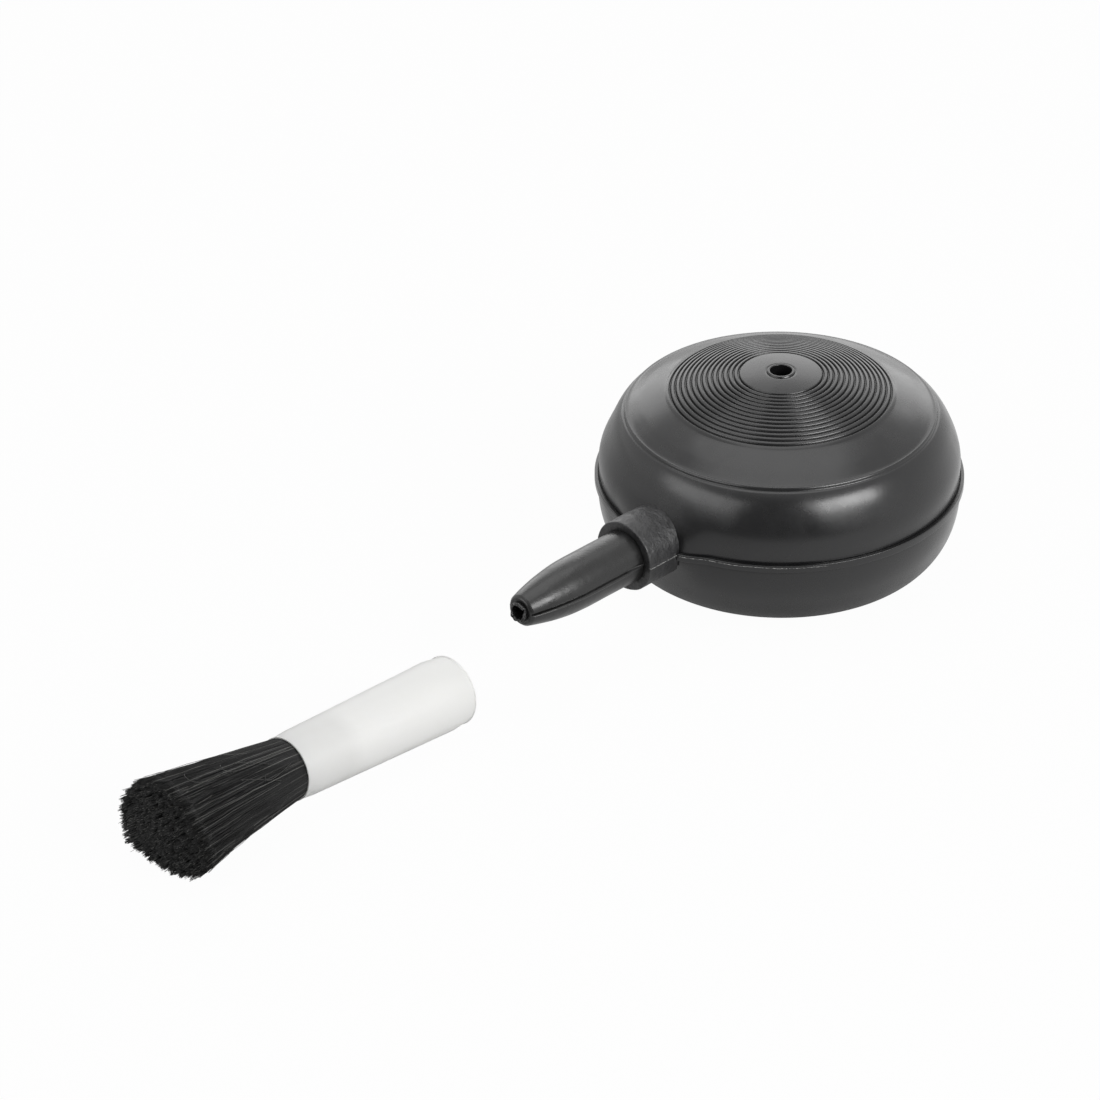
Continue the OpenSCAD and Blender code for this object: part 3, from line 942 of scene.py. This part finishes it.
def hairTree(sizes):  # hairs fan out from their roots in locks, each a thin tapered rod
    tree, add, given = newGroup("bristleHairs", sizes, False)
    index = add("GeometryNodeInputIndex")
    # Roots: a sunflower spiral fills the disc, or the ring outside the inner share, evenly
    turn = add("Math", "MULTIPLY", [index, math.pi * (3 - math.sqrt(5))])
    share = add("Math", "DIVIDE", [index, given["Hairs"]])
    innerArea = add("Math", "POWER", [given["Inner Share"], 2.0])
    area = add("MapRange", {}, {"Value": share, "To Min": innerArea})
    out = add("Math", "SQRT", [area])
    radius = add("Math", "MULTIPLY", [out, given["Root Radius"]])
    arm = add("CombineXYZ", {}, {"X": radius})
    spot = add("VectorRotate", {"rotation_type": "Z_AXIS"}, {"Vector": arm, "Angle": turn})
    roots = add("GeometryNodePoints", {}, {"Count": given["Hairs"], "Position": spot})
    # Locks: hairs with roots in one cell pull together and lean the same way
    place = add("GeometryNodeInputPosition")
    fineness = add("Math", "DIVIDE", [1.0, given["Clump Spacing"]])
    lock = add("TexVoronoi", {"voronoi_dimensions": "3D"}, {"Vector": place, "Scale": fineness})
    toLock = add("VectorMath", "SUBTRACT", [lock.outputs["Position"], place])
    pull = add("VectorMath", "SCALE", {0: toLock, "Scale": given["Clump Pull"]})
    level = add("VectorMath", "MULTIPLY", [pull, (1, 1, 0)])
    lockWay = add("VectorMath", "SUBTRACT", [lock.outputs["Color"], (0.5, 0.5, 0.5)])
    lockSize = add("CombineXYZ", {},
                   {"X": given["Clump Lean"], "Y": given["Clump Lean"], "Z": given["Clump Length"]})
    lockLean = add("VectorMath", "MULTIPLY", [lockWay, lockSize])
    hairSize = add("CombineXYZ", {},
                   {"X": given["Hair Lean"], "Y": given["Hair Lean"], "Z": given["Hair Length"]})
    chance = add("FunctionNodeRandomValue", {"data_type": "FLOAT_VECTOR"},
                 {0: (-1, -1, -1), 1: (1, 1, 1), "Seed": given["Seed"]})
    hairLean = add("VectorMath", "MULTIPLY", [chance, hairSize])
    # The tuft was cut a little shorter on one side, and all of it sways to another
    cutWay = add("VectorRotate", {"rotation_type": "Z_AXIS"},
                 {"Vector": (1, 0, 0), "Angle": given["Cut Side"]})
    towards = add("VectorMath", "DOT_PRODUCT", [place, cutWay])
    towardsShare = add("Math", "DIVIDE", [towards.outputs["Value"], given["Root Radius"]])
    shorter = add("Math", "MULTIPLY", [towardsShare, given["Cut Depth"]])
    onlyShorter = add("Math", "MAXIMUM", [shorter, 0.0])
    lower = add("Math", "MULTIPLY", [onlyShorter, -1.0])
    swayArm = add("CombineXYZ", {}, {"X": given["Sway"]})
    sway = add("VectorRotate", {"rotation_type": "Z_AXIS"}, {"Vector": swayArm, "Angle": given["Sway Side"]})
    cut = add("CombineXYZ", {}, {"Z": lower})
    lean = level
    for more in (lockLean, hairLean, sway, cut):
        lean = add("VectorMath", "ADD", [lean, more])
    # a random tone for each hair; the palest few are painted glints
    shade = add("FunctionNodeRandomValue", {"data_type": "FLOAT"}, {"Seed": given["Seed"]})
    noted = roots
    for label, kind, value in (("root", "FLOAT_VECTOR", place), ("lean", "FLOAT_VECTOR", lean),
                               ("hairShade", "FLOAT", shade.outputs[1])):
        noted = add("GeometryNodeStoreNamedAttribute", {"data_type": kind, "domain": "POINT"},
                    {"Geometry": noted, "Name": label, "Value": value})
    # One rod, which remembers its own shape, stands on every root
    rod = add("GeometryNodeMeshCylinder", {"fill_type": "TRIANGLE_FAN"},
              {"Vertices": given["Sides"], "Side Segments": given["Segments"], "Radius": 1.0, "Depth": 1.0})
    rodShape = add("GeometryNodeStoreNamedAttribute", {"data_type": "FLOAT_VECTOR", "domain": "POINT"},
                   {"Geometry": rod, "Name": "rod", "Value": place})
    standing = add("GeometryNodeInstanceOnPoints", {}, {"Points": noted, "Instance": rodShape})
    realized = add("GeometryNodeRealizeInstances", {}, {"Geometry": standing})
    root, bend, own = [add("GeometryNodeInputNamedAttribute", {"data_type": "FLOAT_VECTOR"}, {"Name": label})
                       for label in ("root", "lean", "rod")]
    parts = add("SeparateXYZ", {}, [own])
    along = add("Math", "ADD", [parts.outputs["Z"], 0.5])
    alongTwice = add("Math", "POWER", [along, 2.0])
    fan = add("MapRange", {}, {"Value": along, "To Min": 1.0, "To Max": given["Flare"]})
    fanned = add("VectorMath", "SCALE", {0: root, "Scale": fan})
    rise = add("Math", "MULTIPLY_ADD", [along, given["Length"], given["Root Height"]])
    up = add("CombineXYZ", {}, {"Z": rise})
    raised = add("VectorMath", "ADD", [fanned, up])
    bent = add("VectorMath", "SCALE", {0: bend, "Scale": alongTwice})
    # Hairs aren't straight: neighbours wander together, more towards their ends
    stretched = add("VectorMath", "MULTIPLY", [raised, (1, 1, 0.25)])
    finer = add("Math", "DIVIDE", [1.0, given["Wave Length"]])
    wave = add("TexNoise", {}, {"Vector": stretched, "Scale": finer, "Detail": 1.0})
    waveWay = add("VectorMath", "SUBTRACT", [wave.outputs["Color"], (0.5, 0.5, 0.5)])
    waveSize = add("Math", "MULTIPLY", [along, given["Wave Size"]])
    waved = add("VectorMath", "SCALE", {0: waveWay, "Scale": waveSize})
    wandered = add("VectorMath", "ADD", [bent, waved])
    middleLine = add("VectorMath", "ADD", [raised, wandered])
    thin = add("Math", "MULTIPLY", [alongTwice, given["Taper"]])
    left = add("Math", "SUBTRACT", [1.0, thin])
    thick = add("Math", "MULTIPLY", [left, given["Hair Radius"]])
    sideways = add("VectorMath", "MULTIPLY", [own, (1, 1, 0)])
    side = add("VectorMath", "SCALE", {0: sideways, "Scale": thick})
    final = add("VectorMath", "ADD", [middleLine, side])
    shaped = add("GeometryNodeSetPosition", {}, {"Geometry": realized, "Position": final})
    smoothed = add("GeometryNodeSetShadeSmooth", {}, {"Geometry": shaped})
    painted = add("GeometryNodeSetMaterial", {}, {"Geometry": smoothed, "Material": hairMaterial})
    add("NodeGroupOutput", {}, {"Geometry": painted})
    return tree


def restOnFloor(mesh, clearance=0.03):
    for vertex in mesh.vertices:
        if vertex.co.z < clearance:
            vertex.co.z = clearance


def makeHairs(name, tree, sizes):
    holder = newObject(name, bpy.data.meshes.new(name))
    mesh = useTree(holder, tree, sizes)
    bpy.data.objects.remove(holder)
    for label in ("root", "lean", "rod"):
        mesh.attributes.remove(mesh.attributes[label])
    mesh.transform(brushFrame)
    restOnFloor(mesh)
    piece = addPiece(name, mesh, [hairMaterial], None)
    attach(piece, "brush")
    return piece


def coreOutline(sizes):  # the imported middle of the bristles, waisted under the thread
    root, tube, glueEnd = sizes["rootRadius"], sizes["tubeRadius"], sizes["glueEnd"]
    waist, tubeEnd = root - sizes["threadDepth"], sizes["tubeEnd"]
    start, end = sizes["ferruleLength"], sizes["length"] - sizes["coreShort"]
    tipRadius, slack = sizes["tuftRadius"] - sizes["coreIn"], sizes["coreSlack"]
    bound = [(root, sizes["threadFrom"]), (waist, sizes["threadFrom"]), (waist, sizes["threadTo"]),
             (root - 0.02, sizes["threadTo"])]
    cone = [(root - slack + (tipRadius - root + slack) * i / 10, start + (end - start) * i / 10)
            for i in range(11)]
    tip = [(tipRadius * 0.5, end), (0, end), (0, tubeEnd), (tube, tubeEnd)]
    return [(tube, glueEnd), (root, glueEnd)] + bound + cone + tip


def makeBristles():
    mesh = turned("bristleCore", coreOutline(brush), evenAngles(48), brushFrame)
    closeShell(mesh)
    core = addPiece("bristleCore", mesh, [hairMaterial], 50)
    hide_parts("bristles")
    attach(core, "brush")
    tree = hairTree(innerHairs)
    makeHairs("innerBristles", tree, innerHairs)
    makeHairs("outerBristles", tree, outerHairs)
    makeHairs("strayBristles", tree, strayHairs)


makeBristles()

# Loose hairs that lie curled on the outside of the tuft, coloured pale grey as painted glints, in millimetres
# and degrees
looseHairs = {
    "count": 8,
    "from": (33, 46),
    "reach": (2.5, 7),
    "side": (-160, 10),
    "turn": 30,
    "bow": 14,
    "curl": 1.9,
    "radius": 0.042,
    "above": 0.16,
    "steps": 16,
    "seed": 4,
}


def tuftAt(along):  # radius of the tuft's outside at a distance along the brush
    share = (along - brush["ferruleLength"]) / (brush["length"] - brush["ferruleLength"])
    return brush["rootRadius"] + (brush["tuftRadius"] - brush["rootRadius"]) * share


def makeLooseHairs(sizes):
    chance = random.Random(sizes["seed"])
    points, faces = [], []
    for _ in range(sizes["count"]):
        start, reach = chance.uniform(*sizes["from"]), chance.uniform(*sizes["reach"])
        side = chance.uniform(*sizes["side"])
        turn = chance.uniform(-sizes["turn"], sizes["turn"])
        bow = chance.uniform(-sizes["bow"], sizes["bow"])
        line = []
        for i in range(sizes["steps"] + 1):
            t = i / sizes["steps"]
            angle = math.radians(side + turn * t + bow * math.sin(math.pi * t))
            along = start + reach * math.sin(t * sizes["curl"]) / math.sin(sizes["curl"])
            radius = tuftAt(along) + sizes["above"]
            line.append(Vector((radius * math.cos(angle), radius * math.sin(angle), along)))
        first = len(points)
        for i, spot in enumerate(line):
            way = line[min(i + 1, len(line) - 1)] - line[max(i - 1, 0)]
            out = Vector((spot.x, spot.y, 0)).normalized()
            across = way.cross(out).normalized()
            for j in range(3):
                spoke = math.radians(120 * j)
                points.append(spot + (out * math.cos(spoke) + across * math.sin(spoke)) * sizes["radius"])
        last = len(points) - 3
        faces += sideFaces(first, last, 3)
        faces += [(first + 2, first + 1, first), (last, last + 1, last + 2)]
    mesh = bpy.data.meshes.new("looseHairs")
    mesh.from_pydata([brushFrame @ point for point in points], [], faces)
    closeShell(mesh)
    restOnFloor(mesh)
    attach(addPiece("looseHairs", mesh, [paleHair], None), "brush")


makeLooseHairs(looseHairs)
print("bristles grown")


# What holds the bristles, seen when the brush is taken apart
def plainMaterial(name, colour, roughness, metal, grain, relief):
    material, add = newMaterial(name)
    place = add("TexCoord")
    fine = add("TexNoise", {}, {"Vector": place.outputs["Object"], "Scale": 1 / (grain * mm), "Detail": 3.0})
    gloss = add("MapRange", {}, {"Value": fine, "To Min": roughness - 0.08, "To Max": roughness + 0.08})
    bump = add("Bump", {}, {"Height": fine, "Strength": relief, "Distance": 0.03 * mm})
    surface = add("BsdfPrincipled", {},
                  {"Base Color": linearColour(colour), "Roughness": gloss, "Metallic": metal, "Normal": bump})
    add("OutputMaterial", {}, {"Surface": surface})
    return material


innerPieces = {
    "bristle_glue": plainMaterial("curedEpoxy", "#c9a968", 0.25, 0.0, 1.5, 0.3),
    "binding_thread": plainMaterial("twistedPolyesterThread", "#cfcac0", 0.75, 0.0, 0.2, 1.0),
    "air_tube": plainMaterial("drawnAluminium", "#c4c6c8", 0.3, 1.0, 0.4, 0.15),
}
for node, material in innerPieces.items():
    materials = frame["nodes"][node].data.materials
    materials.clear()
    materials.append(material)
print("inner pieces finished")
